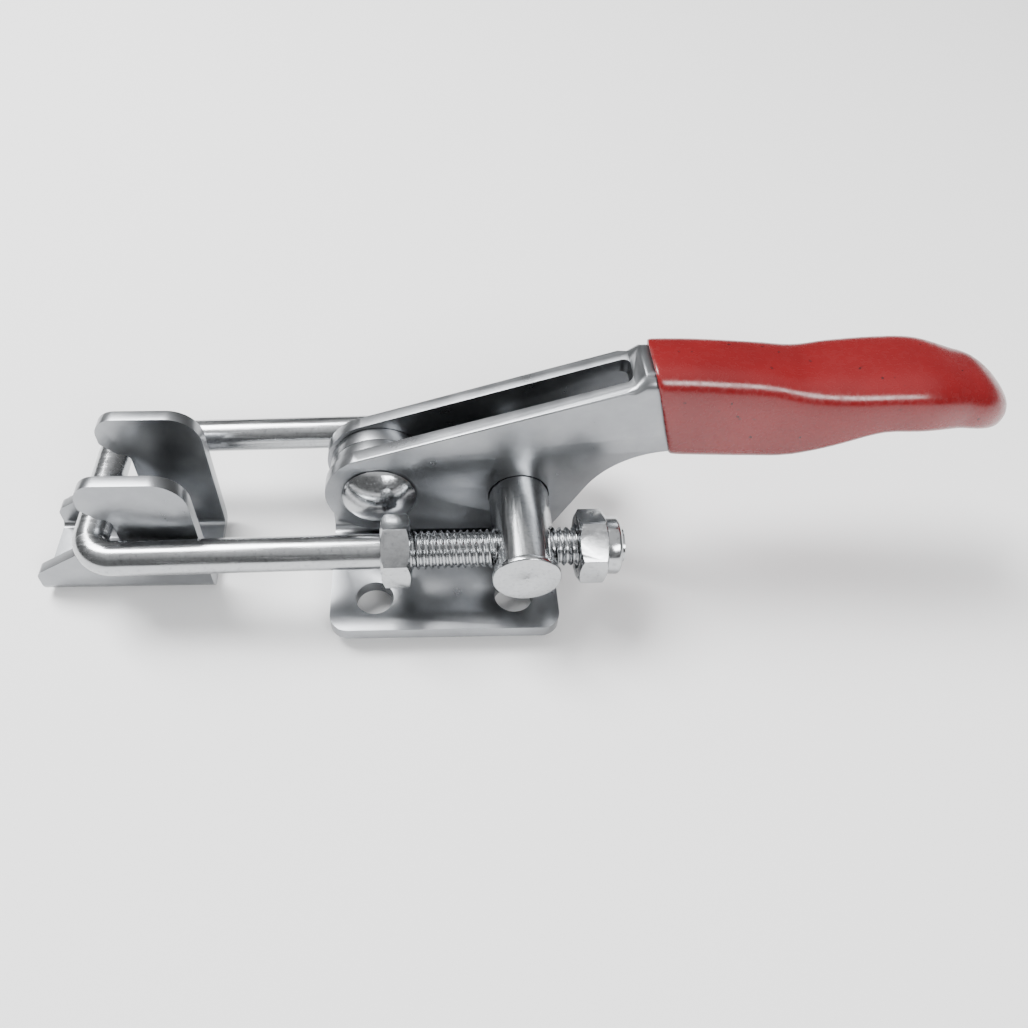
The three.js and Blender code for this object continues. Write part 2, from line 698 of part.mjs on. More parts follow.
// The collar holds the nylon insert in a groove, with its lip rolled over the end.
function lockNut() {
  const radius = LOCK_NUT_COLLAR_DIAMETER / 2;
  const end = LOCK_NUT_HEX_THICKNESS + LOCK_NUT_COLLAR_THICKNESS;
  const round = 0.8;
  const collar = turnedAboutY([
    [0, LOCK_NUT_HEX_THICKNESS / 2],
    [radius, LOCK_NUT_HEX_THICKNESS / 2],
    [radius, end - round],
    [radius - round * 0.3, end - round * 0.3],
    [radius - round, end],
    [0, end],
  ]);
  const pocket = turnedAboutY([
    [0, end - COLLAR_LIP - INSERT_THICKNESS],
    [radius - INSERT_WALL, end - COLLAR_LIP - INSERT_THICKNESS],
    [radius - INSERT_WALL, end - COLLAR_LIP],
    [radius - 2 * INSERT_WALL, end + OVERCUT],
    [0, end + OVERCUT],
  ]);
  const body = hexagon(LOCK_NUT_HEX_THICKNESS, true).add(solid(alongRod(collar)));
  return tapped(body.subtract(solid(alongRod(pocket))));
}

function nylonInsert() {
  const end = LOCK_NUT_HEX_THICKNESS + LOCK_NUT_COLLAR_THICKNESS - COLLAR_LIP - FIT;
  const outer = LOCK_NUT_COLLAR_DIAMETER / 2 - INSERT_WALL - FIT;
  const start = end - INSERT_THICKNESS + 2 * FIT;
  const disc = turnedAboutY([
    [0, start],
    [outer, start],
    [outer, end],
    [0, end],
  ]);
  return tapped(solid(alongRod(disc)));
}

// ---------- Keeper plate ----------

// A flange seen from the side, above the keeper's underside, with the hook that takes the crossbar.
function keeperOutline() {
  const rod = ROD_DIAMETER / 2;
  const bar = CROSSBAR_Z + KEEPER_DROP;
  const low = bar - rod - HOOK_PLAY_BELOW;
  const high = bar + rod + HOOK_PLAY_ABOVE;
  const back = CROSSBAR_X + rod + HOOK_PLAY_BEHIND;
  const heel = CROSSBAR_X + KEEPER_HEEL;
  const toe = CROSSBAR_X - KEEPER_TOE;
  const nose = CROSSBAR_X + KEEPER_NOSE_SETBACK;
  const top = high + KEEPER_NOSE_THICKNESS;
  return roundedOutline([CROSSBAR_X, 0], [
    [heel, 0, 1],
    [heel, top, KEEPER_SHOULDER_RADIUS],
    [nose, top, KEEPER_NOSE_RADIUS],
    [nose, high + KEEPER_NOSE_CHAMFER, 1],
    [nose + KEEPER_NOSE_CHAMFER, high, 0.5],
    [back, high, 1.4],
    [back, low, 3],
    [CROSSBAR_X - rod - HOOK_PLAY_BELOW, low, 0.8],
    [toe, KEEPER_TOE_HEIGHT, KEEPER_TOE_RADIUS],
    [toe, 0, KEEPER_TOE_RADIUS],
  ]);
}

function keeperSection(yFront) {
  const yRear = yFront + KEEPER_WIDTH;
  const outerBend = KEEPER_BEND_RADIUS + KEEPER_SHEET;
  const top = FAR;
  const outside = roundedOutline([yFront, top], [
    [yFront, 0, outerBend],
    [yRear, 0, outerBend],
    [yRear, top, 1],
    [yFront, top, 1],
  ]);
  const inside = roundedOutline([yFront + KEEPER_SHEET, top / 2], [
    [yFront + KEEPER_SHEET, KEEPER_SHEET, KEEPER_BEND_RADIUS],
    [yRear - KEEPER_SHEET, KEEPER_SHEET, KEEPER_BEND_RADIUS],
    [yRear - KEEPER_SHEET, 2 * top, 1],
    [yFront + KEEPER_SHEET, 2 * top, 1],
  ]);
  return { outside, inside, middle: (yFront + yRear) / 2 };
}

function keeperPlate() {
  const frontRodInside = -SIDE_SHIFT - ROD_HALF_SPACING + ROD_DIAMETER / 2;
  const { outside, inside, middle } = keeperSection(frontRodInside + ROD_TO_KEEPER);
  const heel = CROSSBAR_X + KEEPER_HEEL;
  const toe = CROSSBAR_X - KEEPER_TOE;
  const holeX = heel - KEEPER_HOLE_FROM_HEEL;
  let keeper = alongBar(outside, toe - OVERCUT, heel + OVERCUT)
    .subtract(alongBar(inside, toe - 2 * OVERCUT, heel + 2 * OVERCUT))
    .intersect(acrossPlate(keeperOutline(), -FAR, FAR));
  for (const x of [holeX, holeX - KEEPER_HOLE_PITCH]) {
    keeper = keeper.subtract(holeAlongZ(KEEPER_HOLE_DIAMETER / 2, x, middle));
  }
  return keeper.translate([0, 0, -KEEPER_DROP]);
}

// ---------- Materials ----------

function zincPlate() {
  return new THREE.MeshStandardMaterial({ color: "#b9bbbd", roughness: 0.32, metalness: 1 });
}

function brightZinc() {
  return new THREE.MeshStandardMaterial({ color: "#c8cacc", roughness: 0.22, metalness: 1 });
}

function redVinyl() {
  return new THREE.MeshStandardMaterial({ color: "#a3262b", roughness: 0.35, metalness: 0 });
}

function nylon() {
  return new THREE.MeshStandardMaterial({ color: "#d9dad6", roughness: 0.6, metalness: 0 });
}

function named(name, body, material) {
  const mesh = new THREE.Mesh(geometryOf(body), material);
  mesh.name = name;
  return mesh;
}

// ---------- Assembly ----------

function baseGroup() {
  const group = new THREE.Group();
  const front = named("base_bracket_front", baseBracket(), zincPlate());
  const rear = named("base_bracket_rear", baseBracket(), zincPlate());
  rear.geometry = geometryOf(baseBracket().mirror([0, 1, 0]));
  group.add(front, rear, named("pivot_rivet", pivotRivet(), brightZinc()));
  return group;
}

function handleGroup() {
  const group = new THREE.Group();
  group.add(named("handle_channel", handleChannel(), zincPlate()));
  group.add(named("handle_grip", handleGrip(), redVinyl()));
  return group;
}

// The nuts of one rod, each at its free gap from the cross shaft.
function rodNuts(side, y, jamGap, jamTurn) {
  const group = new THREE.Group();
  const jam = named("jam_nut_" + side, jamNut(), brightZinc());
  jam.position.set(-SHAFT_RADIUS - jamGap - JAM_NUT_THICKNESS, y, 0);
  jam.rotation.x = jamTurn;
  const lock = named("lock_nut_" + side, lockNut(), brightZinc());
  const insert = named("nylon_insert_" + side, nylonInsert(), nylon());
  for (const piece of [lock, insert]) {
    piece.position.set(SHAFT_RADIUS + LOCK_NUT_GAP, y, 0);
    piece.rotation.x = NUT_TURN;
  }
  group.add(jam, lock, insert);
  return group;
}

function boltGroup() {
  const group = new THREE.Group();
  group.add(named("cross_shaft", crossShaft(), brightZinc()));
  group.add(named("u_bolt", uBolt(), brightZinc()));
  group.add(rodNuts("front", -ROD_HALF_SPACING, FRONT_JAM_NUT_GAP, NUT_TURN));
  group.add(rodNuts("rear", ROD_HALF_SPACING, REAR_JAM_NUT_GAP, REAR_JAM_NUT_TURN));
  group.position.set(SHAFT_X, -SIDE_SHIFT, SHAFT_Z);
  group.rotation.y = -ROD_TILT;
  return group;
}

const clamp = new THREE.Group();
clamp.add(baseGroup(), handleGroup(), boltGroup());
clamp.add(named("keeper_plate", keeperPlate(), zincPlate()));

// The origin is under the middle of the whole clamp.
const bounds = new THREE.Box3().setFromObject(clamp);
clamp.position.x = -(bounds.min.x + bounds.max.x) / 2;
clamp.position.z = -bounds.min.z;

const latch = new THREE.Group();
latch.add(clamp);

export default latch;
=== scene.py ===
import json
import math

import bmesh
import bpy
from mathutils import Matrix, Vector


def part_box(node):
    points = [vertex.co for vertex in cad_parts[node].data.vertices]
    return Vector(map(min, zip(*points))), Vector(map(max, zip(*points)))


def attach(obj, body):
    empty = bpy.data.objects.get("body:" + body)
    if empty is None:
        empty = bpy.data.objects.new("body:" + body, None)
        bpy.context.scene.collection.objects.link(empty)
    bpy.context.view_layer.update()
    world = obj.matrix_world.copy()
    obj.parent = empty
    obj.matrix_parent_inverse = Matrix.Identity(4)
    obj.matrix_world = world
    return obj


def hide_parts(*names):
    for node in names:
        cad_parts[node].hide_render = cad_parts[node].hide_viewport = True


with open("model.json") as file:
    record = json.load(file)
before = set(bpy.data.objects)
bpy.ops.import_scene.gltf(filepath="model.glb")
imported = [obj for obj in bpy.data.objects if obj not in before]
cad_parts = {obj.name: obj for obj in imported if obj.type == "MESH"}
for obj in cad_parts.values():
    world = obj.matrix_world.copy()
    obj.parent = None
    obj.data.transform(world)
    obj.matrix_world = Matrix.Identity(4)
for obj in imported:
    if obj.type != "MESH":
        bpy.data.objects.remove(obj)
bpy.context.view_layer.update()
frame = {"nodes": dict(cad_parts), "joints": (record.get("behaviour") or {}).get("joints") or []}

MM = 0.001

# ---------- Sizes of the visible detail, in millimetres ----------

THREAD_PITCH = 1.0  # M6 coarse
THREAD_DEPTH = 0.42
THREAD_STEPS = 28  # round one turn
THREAD_FLAT = 0.1  # half the root's flat, and half the crest's, as shares of the pitch
THREAD_CREST_EASE = 0.04
TURNED_STEPS = 72
DRILL_STEPS = 48
ROD_SIDES = 40
BEND_STEPS = 18

JOINTS = {joint["name"]: joint for joint in frame["joints"]}


def box_mm(node):
    low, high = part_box(node)
    return low / MM, high / MM


def joint_point(name):
    return Vector(JOINTS[name]["pos_m"]) / MM


PIVOT = joint_point("handle_pivot")
SHAFT = joint_point("shaft_turn")
CROSSBAR = joint_point("keeper_swing")
ROD_AXIS = Vector(JOINTS["u_bolt_slide"]["axis"]).normalized()
FRONT_ROD = joint_point("jam_nut_front_turn")
REAR_ROD = joint_point("jam_nut_rear_turn")
ROD_HALF_SPACING = (REAR_ROD.y - FRONT_ROD.y) / 2
ROD_TILT = math.atan2(ROD_AXIS.z, ROD_AXIS.x)
BOLT_REACH = (SHAFT - CROSSBAR).length
# The U-bolt, its shaft and nuts are made about the middle of the shaft, then put in place by this.
BOLT_FRAME = Matrix.Translation(SHAFT) @ Matrix.Rotation(-ROD_TILT, 4, "Y")


# ---------- Meshes ----------

def to_object(mesh_data, name):
    mesh = bpy.data.meshes.new(name)
    mesh_data.to_mesh(mesh)
    mesh_data.free()
    piece = bpy.data.objects.new(name, mesh)
    bpy.context.scene.collection.objects.link(piece)
    return piece


def add_modifier(piece, kind, **settings):
    modifier = piece.modifiers.new(kind.title(), kind)
    for key, value in settings.items():
        setattr(modifier, key, value)


def apply_modifiers(piece):
    bpy.context.view_layer.update()
    evaluated = piece.evaluated_get(bpy.context.evaluated_depsgraph_get())
    mesh = bpy.data.meshes.new_from_object(evaluated)
    old = piece.data
    piece.modifiers.clear()
    piece.data = mesh
    bpy.data.meshes.remove(old)


def discard(piece):
    mesh = piece.data
    bpy.data.objects.remove(piece)
    bpy.data.meshes.remove(mesh)


# Cuts a piece by another, or keeps only what they share, and removes the cutter.
def combine(piece, cutter, operation):
    add_modifier(piece, "BOOLEAN", operation=operation, object=cutter, solver="EXACT")
    apply_modifiers(piece)
    discard(cutter)


# Adds other pieces' meshes to a piece's own and removes the others.
def join_into(piece, others):
    bm = bmesh.new()
    bm.from_mesh(piece.data)
    for other in others:
        bm.from_mesh(other.data)
        discard(other)
    bm.to_mesh(piece.data)
    bm.free()


# Rounds every edge that turns by more than the angle. The width is in the mesh's own units.
def ease_edges(piece, width, segments, angle):
    add_modifier(
        piece, "BEVEL", width=width, segments=segments, limit_method="ANGLE",
        angle_limit=math.radians(angle), use_clamp_overlap=True,
    )
    apply_modifiers(piece)


# Brings a piece made in millimetres to its place in metres.
def place(piece, matrix=Matrix.Identity(4)):
    piece.data.transform(Matrix.Scale(MM, 4) @ matrix)


# Smooth, but sharp across edges that turn by more than the angle.
def shade(piece, angle=35):
    for face in piece.data.polygons:
        face.use_smooth = True
    piece.data.set_sharp_from_angle(angle=math.radians(angle))


def dress(piece, body, material, replaced):
    piece.data.materials.clear()
    piece.data.materials.append(material)
    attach(piece, body)
    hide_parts(replaced)


# A line of points spun once round the X axis. Points are (along, radius); the ends lie on the axis.
def turned(name, points, steps=TURNED_STEPS):
    bm = bmesh.new()
    verts = [bm.verts.new((along, radius, 0)) for along, radius in points]
    edges = [bm.edges.new(pair) for pair in zip(verts, verts[1:])]
    bmesh.ops.spin(
        bm, geom=verts + edges, cent=(0, 0, 0), axis=(1, 0, 0), dvec=(0, 0, 0),
        angle=2 * math.pi, steps=steps, use_merge=True, use_duplicate=False,
    )
    bmesh.ops.remove_doubles(bm, verts=bm.verts, dist=1e-4)
    bmesh.ops.recalc_face_normals(bm, faces=bm.faces)
    return to_object(bm, name)


# Points on a quarter or other stretch of a circle, as (along, radius) pairs.
def arc(centre, radius, start, end, steps):
    points = []
    for i in range(steps + 1):
        angle = math.radians(start + (end - start) * i / steps)
        points.append((centre[0] + radius * math.cos(angle), centre[1] + radius * math.sin(angle)))
    return points


# Extrudes a ring of edges and returns the new ring's edges and vertices.
def extend_ring(bm, edges):
    grown = bmesh.ops.extrude_edge_only(bm, edges=edges)["geom"]
    verts = [item for item in grown if isinstance(item, bmesh.types.BMVert)]
    new_edges = [item for item in grown if isinstance(item, bmesh.types.BMEdge)]
    ring = set(verts)
    return [edge for edge in new_edges if edge.verts[0] in ring and edge.verts[1] in ring], verts


# ---------- Materials ----------

# An sRGB hex code as a linear colour.
def linear(code):
    channels = [int(code[i : i + 2], 16) / 255 for i in (1, 3, 5)]
    out = [c / 12.92 if c <= 0.04045 else ((c + 0.055) / 1.055) ** 2.4 for c in channels]
    return (*out, 1.0)


# Adds a node to a material or a world, with its settings, its values, the sockets linked into it and,
# on a colour ramp, its stops as (position, colour) pairs.
def add(owner, kind, settings=None, values=None, links=None, stops=()):
    tree = owner.node_tree
    node = tree.nodes.new(kind)
    for key, value in (settings or {}).items():
        setattr(node, key, value)
    for key, value in (values or {}).items():
        node.inputs[key].default_value = value
    for key, socket in (links or {}).items():
        tree.links.new(socket, node.inputs[key])
    if stops:
        elements = node.color_ramp.elements
        while len(elements) < len(stops):
            elements.new(0.5)
        for element, (position, colour) in zip(elements, stops):
            element.position = position
            element.color = colour
    return node


def new_material(name):
    material = bpy.data.materials.new(name)
    material.use_nodes = True
    material.node_tree.nodes.clear()
    return material


def grey(value):
    return (value, value, value, 1)


# How often a pattern with this spacing in millimetres repeats in a metre.
def per_metre(spacing_mm):
    return 1 / (spacing_mm * MM)


# Zinc over cold rolled sheet: milky, with a grain along the rolling direction and soft blotches where
# the barrel plating is thicker or thinner.
def zinc_plated_sheet():
    material = new_material("zinc_plated_sheet")
    coords = add(material, "ShaderNodeTexCoord").outputs["Object"]
    blotch = add(
        material, "ShaderNodeTexNoise",
        values={"Scale": per_metre(5), "Detail": 5, "Roughness": 0.55},
        links={"Vector": coords},
    )
    rolled = add(material, "ShaderNodeMapping", values={"Scale": (0.06, 1, 1)}, links={"Vector": coords})
    grain = add(
        material, "ShaderNodeTexNoise",
        values={"Scale": per_metre(0.35), "Detail": 3},
        links={"Vector": rolled.outputs[0]},
    )
    speckle = add(
        material, "ShaderNodeTexNoise",
        values={"Scale": per_metre(0.5), "Detail": 2},
        links={"Vector": coords},
    )
    colour = add(
        material, "ShaderNodeValToRGB",
        links={"Fac": blotch.outputs["Fac"]},
        stops=[(0.25, linear("#87898c")), (0.55, linear("#919396")), (0.8, linear("#9b9d9f"))],
    )
    roughness = add(
        material, "ShaderNodeMapRange",
        values={"From Min": 0.3, "From Max": 0.75, "To Min": 0.27, "To Max": 0.34},
        links={"Value": blotch.outputs["Fac"]},
    )
    bump_grain = add(
        material, "ShaderNodeBump",
        values={"Strength": 0.12, "Distance": 0.02 * MM},
        links={"Height": grain.outputs["Fac"]},
    )
    bump = add(
        material, "ShaderNodeBump",
        values={"Strength": 0.1, "Distance": 0.02 * MM},
        links={"Height": speckle.outputs["Fac"], "Normal": bump_grain.outputs[0]},
    )
    shader = add(
        material, "ShaderNodeBsdfPrincipled",
        values={"Metallic": 1.0},
        links={
            "Base Color": colour.outputs[0],
            "Roughness": roughness.outputs[0],
            "Normal": bump.outputs[0],
        },
    )
    add(material, "ShaderNodeOutputMaterial", links={"Surface": shader.outputs[0]})
    return material


# Zinc over drawn rod and turned parts: brighter, with fine lines and small dark pits.
def bright_zinc(name, stretch, roughness_low, roughness_high):
    material = new_material(name)
    coords = add(material, "ShaderNodeTexCoord").outputs["Object"]
    drawn = add(material, "ShaderNodeMapping", values={"Scale": stretch}, links={"Vector": coords})
    lines = add(
        material, "ShaderNodeTexNoise",
        values={"Scale": per_metre(0.45), "Detail": 4},
        links={"Vector": drawn.outputs[0]},
    )
    pits = add(
        material, "ShaderNodeTexNoise",
        values={"Scale": per_metre(0.7), "Detail": 3, "Roughness": 0.7},
        links={"Vector": coords},
    )
    tint = add(
        material, "ShaderNodeValToRGB",
        links={"Fac": pits.outputs["Fac"]},
        stops=[(0.3, linear("#97999b")), (0.42, linear("#abadaf")), (0.8, linear("#b6b8ba"))],
    )
    roughness = add(
        material, "ShaderNodeMapRange",
        values={"From Min": 0.3, "From Max": 0.7, "To Min": roughness_low, "To Max": roughness_high},
        links={"Value": lines.outputs["Fac"]},
    )
    bump = add(
        material, "ShaderNodeBump",
        values={"Strength": 0.08, "Distance": 0.02 * MM},
        links={"Height": lines.outputs["Fac"]},
    )
    shader = add(
        material, "ShaderNodeBsdfPrincipled",
        values={"Metallic": 1.0},
        links={
            "Base Color": tint.outputs[0],
            "Roughness": roughness.outputs[0],
            "Normal": bump.outputs[0],
        },
    )
    add(material, "ShaderNodeOutputMaterial", links={"Surface": shader.outputs[0]})
    return material


# Plastisol dipped on hot steel: glossy, faintly wavy, with a few scuffs and specks of dirt.
def dipped_vinyl():
    material = new_material("dipped_red_vinyl")
    coords = add(material, "ShaderNodeTexCoord").outputs["Object"]
    wave = add(
        material, "ShaderNodeTexNoise",
        values={"Scale": per_metre(9), "Detail": 2},
        links={"Vector": coords},
    )
    skin = add(
        material, "ShaderNodeTexNoise",
        values={"Scale": per_metre(0.8), "Detail": 4},
        links={"Vector": coords},
    )
    specks = add(
        material, "ShaderNodeTexNoise",
        values={"Scale": per_metre(1.1), "Detail": 1},
        links={"Vector": coords},
    )
    base = add(
        material, "ShaderNodeValToRGB",
        links={"Fac": wave.outputs["Fac"]},
        stops=[(0.3, linear("#680b0f")), (0.7, linear("#740f13"))],
    )
    dirt = add(
        material, "ShaderNodeValToRGB",
        links={"Fac": specks.outputs["Fac"]},
        stops=[(0.74, grey(0)), (0.78, grey(1))],
    )
    colour = add(
        material, "ShaderNodeMix",
        settings={"data_type": "RGBA"},
        links={0: dirt.outputs[0], 6: base.outputs[0]},
        values={7: linear("#3a080b")},
    )
    roughness = add(
        material, "ShaderNodeMapRange",
        values={"From Min": 0.35, "From Max": 0.7, "To Min": 0.2, "To Max": 0.34},
        links={"Value": skin.outputs["Fac"]},
    )
    bump_wave = add(
        material, "ShaderNodeBump",
        values={"Strength": 0.3, "Distance": 0.25 * MM},
        links={"Height": wave.outputs["Fac"]},
    )
    bump = add(
        material, "ShaderNodeBump",
        values={"Strength": 0.12, "Distance": 0.05 * MM},
        links={"Height": skin.outputs["Fac"], "Normal": bump_wave.outputs[0]},
    )
    shader = add(
        material, "ShaderNodeBsdfPrincipled",
        values={"IOR": 1.53},
        links={
            "Base Color": colour.outputs[2],
            "Roughness": roughness.outputs[0],
            "Normal": bump.outputs[0],
        },
    )
    add(material, "ShaderNodeOutputMaterial", links={"Surface": shader.outputs[0]})
    return material


# Natural nylon 6, machined: waxy and slightly see-through.
def natural_nylon():
    material = new_material("natural_nylon")
    coords = add(material, "ShaderNodeTexCoord").outputs["Object"]
    mottle = add(
        material, "ShaderNodeTexNoise",
        values={"Scale": per_metre(1.5), "Detail": 3},
        links={"Vector": coords},
    )
    colour = add(
        material, "ShaderNodeValToRGB",
        links={"Fac": mottle.outputs["Fac"]},
        stops=[(0.3, linear("#c9c8c0")), (0.7, linear("#deddd6"))],
    )
    shader = add(
        material, "ShaderNodeBsdfPrincipled",
        values={"IOR": 1.53, "Roughness": 0.45, "Subsurface Weight": 0.1},
        links={"Base Color": colour.outputs[0]},
    )
    add(material, "ShaderNodeOutputMaterial", links={"Surface": shader.outputs[0]})
    return material


def pale_paper():
    material = new_material("pale_paper")
    shader = add(
        material, "ShaderNodeBsdfPrincipled",
        values={"Base Color": linear("#f4f4f4"), "Roughness": 0.9, "Specular IOR Level": 0.1},
    )
    add(material, "ShaderNodeOutputMaterial", links={"Surface": shader.outputs[0]})
    return material


# ---------- Pressed sheet ----------

EDGE_ROUND = 0.45  # of the blanked edges
WELD_DISTANCE = 0.004
FLAT_WITHIN = 0.8  # degrees between faces that are made one


# A pressed piece in the frame's shape, with its blanked edges rounded as a press leaves them.
def pressed_sheet(node, body, material):
    bm = bmesh.new()
    bm.from_mesh(frame["nodes"][node].data)
    bmesh.ops.remove_doubles(bm, verts=bm.verts, dist=WELD_DISTANCE * MM)
    bmesh.ops.dissolve_limit(
        bm, angle_limit=math.radians(FLAT_WITHIN), use_dissolve_boundaries=False,
        verts=bm.verts, edges=bm.edges,
    )
    piece = to_object(bm, node + "_pressing")
    ease_edges(piece, EDGE_ROUND * MM, segments=4, angle=40)
    shade(piece, angle=30)
    dress(piece, body, material, node)


# ---------- Pivot rivet ----------

RIVET_SEAT_GAP = 0.1  # under the head
RIVET_RIM = 0.35  # height of the head's edge below its dome
RIVET_DOME_INSET = 0.15
RIVET_CHAMFER = 0.1
SHANK_RADIUS = 3.25
TAIL_RADIUS = 4.75
TAIL_DEPTH = 1.4  # of the countersink that the tail fills


def pivot_rivet(material):
    low, high = box_mm("pivot_rivet")
    handle_low, handle_high = box_mm("handle_channel")
    head_radius = (high.x - low.x) / 2
    seat = handle_low.y - RIVET_SEAT_GAP
    tail = handle_high.y
    crown = seat - low.y - RIVET_RIM
    sphere = (head_radius**2 + crown**2) / (2 * crown)
    spread = math.degrees(math.asin((head_radius - RIVET_DOME_INSET) / sphere))
    dome = arc((low.y + sphere, 0), sphere, 180, 180 - spread, steps=16)
    profile = dome + [
        (seat - RIVET_RIM / 2, head_radius),
        (seat, head_radius - RIVET_CHAMFER),
        (seat, SHANK_RADIUS),
        (tail - TAIL_DEPTH, SHANK_RADIUS),
        (tail - RIVET_CHAMFER, TAIL_RADIUS),
        (tail, TAIL_RADIUS - RIVET_CHAMFER),
        (tail, 0),
    ]
    profile[0] = (low.y, 0)
    piece = turned("pivot_rivet_domed", profile)
    place(piece, Matrix.Translation((PIVOT.x, 0, PIVOT.z)) @ Matrix.Rotation(math.pi / 2, 4, "Z"))
    shade(piece)
    dress(piece, "base", material, "pivot_rivet")


# ---------- Cross shaft ----------

SHAFT_RADIUS = 4.7
FLANGE_RADIUS = 5.1
FLANGE_THICKNESS = 1.0
FLANGE_LIP = 0.25
FLANGE_FILLET = 0.15
PIP_RADIUS = 0.55  # the dimple that the lathe's centre leaves
PIP_DEPTH = 0.28
PIP_SHOULDER_RADIUS = 0.33
PIP_SHOULDER_DEPTH = 0.1
ROD_HOLE_RADIUS = 3.15
ROD_HOLE_EDGE = 0.15
DRILL_LENGTH = 30


def cross_shaft(material):
    low, high = box_mm("cross_shaft")
    half = (high.y - low.y) / 2
    inner = half - FLANGE_THICKNESS
    lip_radius = FLANGE_RADIUS - FLANGE_LIP
    end = [
        (half - PIP_DEPTH, 0),
        (half - PIP_SHOULDER_DEPTH, PIP_SHOULDER_RADIUS),
        (half, PIP_RADIUS),
        (half, lip_radius),
        *arc((half - FLANGE_LIP, lip_radius), FLANGE_LIP, 0, 90, steps=4),
        *arc((inner + FLANGE_LIP, lip_radius), FLANGE_LIP, 90, 180, steps=4),
        (inner, SHAFT_RADIUS + FLANGE_FILLET),
        (inner - FLANGE_FILLET, SHAFT_RADIUS),
    ]
    profile = end + [(-along, radius) for along, radius in reversed(end)]
    piece = turned("cross_shaft_turned", profile)
    for side in (-1, 1):
        bm = bmesh.new()
        bmesh.ops.create_cone(
            bm, cap_ends=True, segments=DRILL_STEPS, depth=DRILL_LENGTH,
            radius1=ROD_HOLE_RADIUS, radius2=ROD_HOLE_RADIUS,
        )
        bmesh.ops.translate(bm, verts=bm.verts, vec=(side * ROD_HALF_SPACING, 0, 0))
        combine(piece, to_object(bm, "drill"), "DIFFERENCE")
    # The profile runs along X: it is turned to lie along Y, its drilled holes along X.
    turn = Matrix(((0, 0, 1, 0), (1, 0, 0, 0), (0, 1, 0, 0), (0, 0, 0, 1)))
    place(piece, BOLT_FRAME @ turn)
    ease_edges(piece, ROD_HOLE_EDGE * MM, segments=2, angle=50)
    shade(piece)
    dress(piece, "cross_shaft", material, "cross_shaft")


# ---------- U-bolt ----------

ROD_RADIUS = 2.7
THREAD_RADIUS = 2.95
THREAD_START = -20.1
THREAD_OVERLAP = 0.5  # how far the smooth rod runs on inside the thread
THREAD_RUN_OUT = 0.6
RUN_OUT_SHARE = 0.9  # of the thread's radius, where it ends on the smooth rod
POINT_SHARE = 0.86  # of the thread's radius, at the rod's chamfered end
THREAD_WELD = 0.002
ROD_TAIL = 14.9
BEND_RADIUS = 4.5


# The smooth rod with its two bends, as one closed tube.
def bent_rod(bm):
    circle = bmesh.ops.create_circle(bm, radius=ROD_RADIUS, segments=ROD_SIDES)["verts"]
    bmesh.ops.rotate(bm, verts=circle, matrix=Matrix.Rotation(math.pi / 2, 3, "Y"))
    rod_end = THREAD_START + THREAD_OVERLAP
    bmesh.ops.translate(bm, verts=circle, vec=(rod_end, -ROD_HALF_SPACING, 0))
    edges = list(bm.edges)
    bmesh.ops.edgeloop_fill(bm, edges=edges)
    bend_x = BEND_RADIUS - BOLT_REACH
    bend_y = ROD_HALF_SPACING - BEND_RADIUS
    straight = bend_x - rod_end
    for travel, centre in (
        ((straight, 0, 0), (bend_x, -bend_y, 0)),
        ((0, 2 * bend_y, 0), (bend_x, bend_y, 0)),
    ):
        edges, verts = extend_ring(bm, edges)
        bmesh.ops.translate(bm, verts=verts, vec=travel)
        last = bmesh.ops.spin(
            bm, geom=edges, cent=centre, axis=(0, 0, 1), dvec=(0, 0, 0),
            angle=-math.pi / 2, steps=BEND_STEPS, use_merge=False, use_duplicate=False,
        )["geom_last"]
        edges = [item for item in last if isinstance(item, bmesh.types.BMEdge)]
    edges, verts = extend_ring(bm, edges)
    bmesh.ops.translate(bm, verts=verts, vec=(-straight, 0, 0))
    bmesh.ops.edgeloop_fill(bm, edges=edges)


# A right-hand thread along X: one pitch of its profile wound round the rod, its ends closed.
def rolled_thread(y):
    bm = bmesh.new()
    root = THREAD_RADIUS - THREAD_DEPTH
    shoulder = THREAD_RADIUS - THREAD_CREST_EASE
    profile = [
        (0, root),
        (THREAD_FLAT, root),
        (0.5 - THREAD_FLAT, shoulder),
        (0.5, THREAD_RADIUS),
        (0.5 + THREAD_FLAT, shoulder),
        (1 - THREAD_FLAT, root),
        (1, root),
    ]
    verts = [bm.verts.new((THREAD_START + along * THREAD_PITCH, radius, 0)) for along, radius in profile]
    edges = [bm.edges.new(pair) for pair in zip(verts, verts[1:])]
    turns = int((ROD_TAIL - THREAD_START) / THREAD_PITCH) - 1
    advance = THREAD_PITCH / THREAD_STEPS
    bmesh.ops.spin(
        bm, geom=verts + edges, cent=(0, 0, 0), axis=(1, 0, 0), dvec=(advance, 0, 0),
        angle=2 * math.pi * turns, steps=THREAD_STEPS * turns, use_merge=False, use_duplicate=False,
    )
    bmesh.ops.remove_doubles(bm, verts=bm.verts, dist=THREAD_WELD)
    middle = (THREAD_START + ROD_TAIL) / 2
    boundary = [edge for edge in bm.edges if edge.is_boundary]
    ends = ((True, THREAD_START - THREAD_RUN_OUT, RUN_OUT_SHARE), (False, ROD_TAIL, POINT_SHARE))
    for is_start, end, share in ends:
        loop = [edge for edge in boundary if (edge.verts[0].co.x < middle) == is_start]
        ring, ring_verts = extend_ring(bm, loop)
        for vert in ring_verts:
            radial = Vector((0, vert.co.y, vert.co.z)).normalized()
            vert.co = Vector((end, 0, 0)) + radial * THREAD_RADIUS * share
        bmesh.ops.edgeloop_fill(bm, edges=ring)
    bmesh.ops.recalc_face_normals(bm, faces=bm.faces)
    bmesh.ops.translate(bm, verts=bm.verts, vec=(0, y, 0))
    return to_object(bm, "thread")


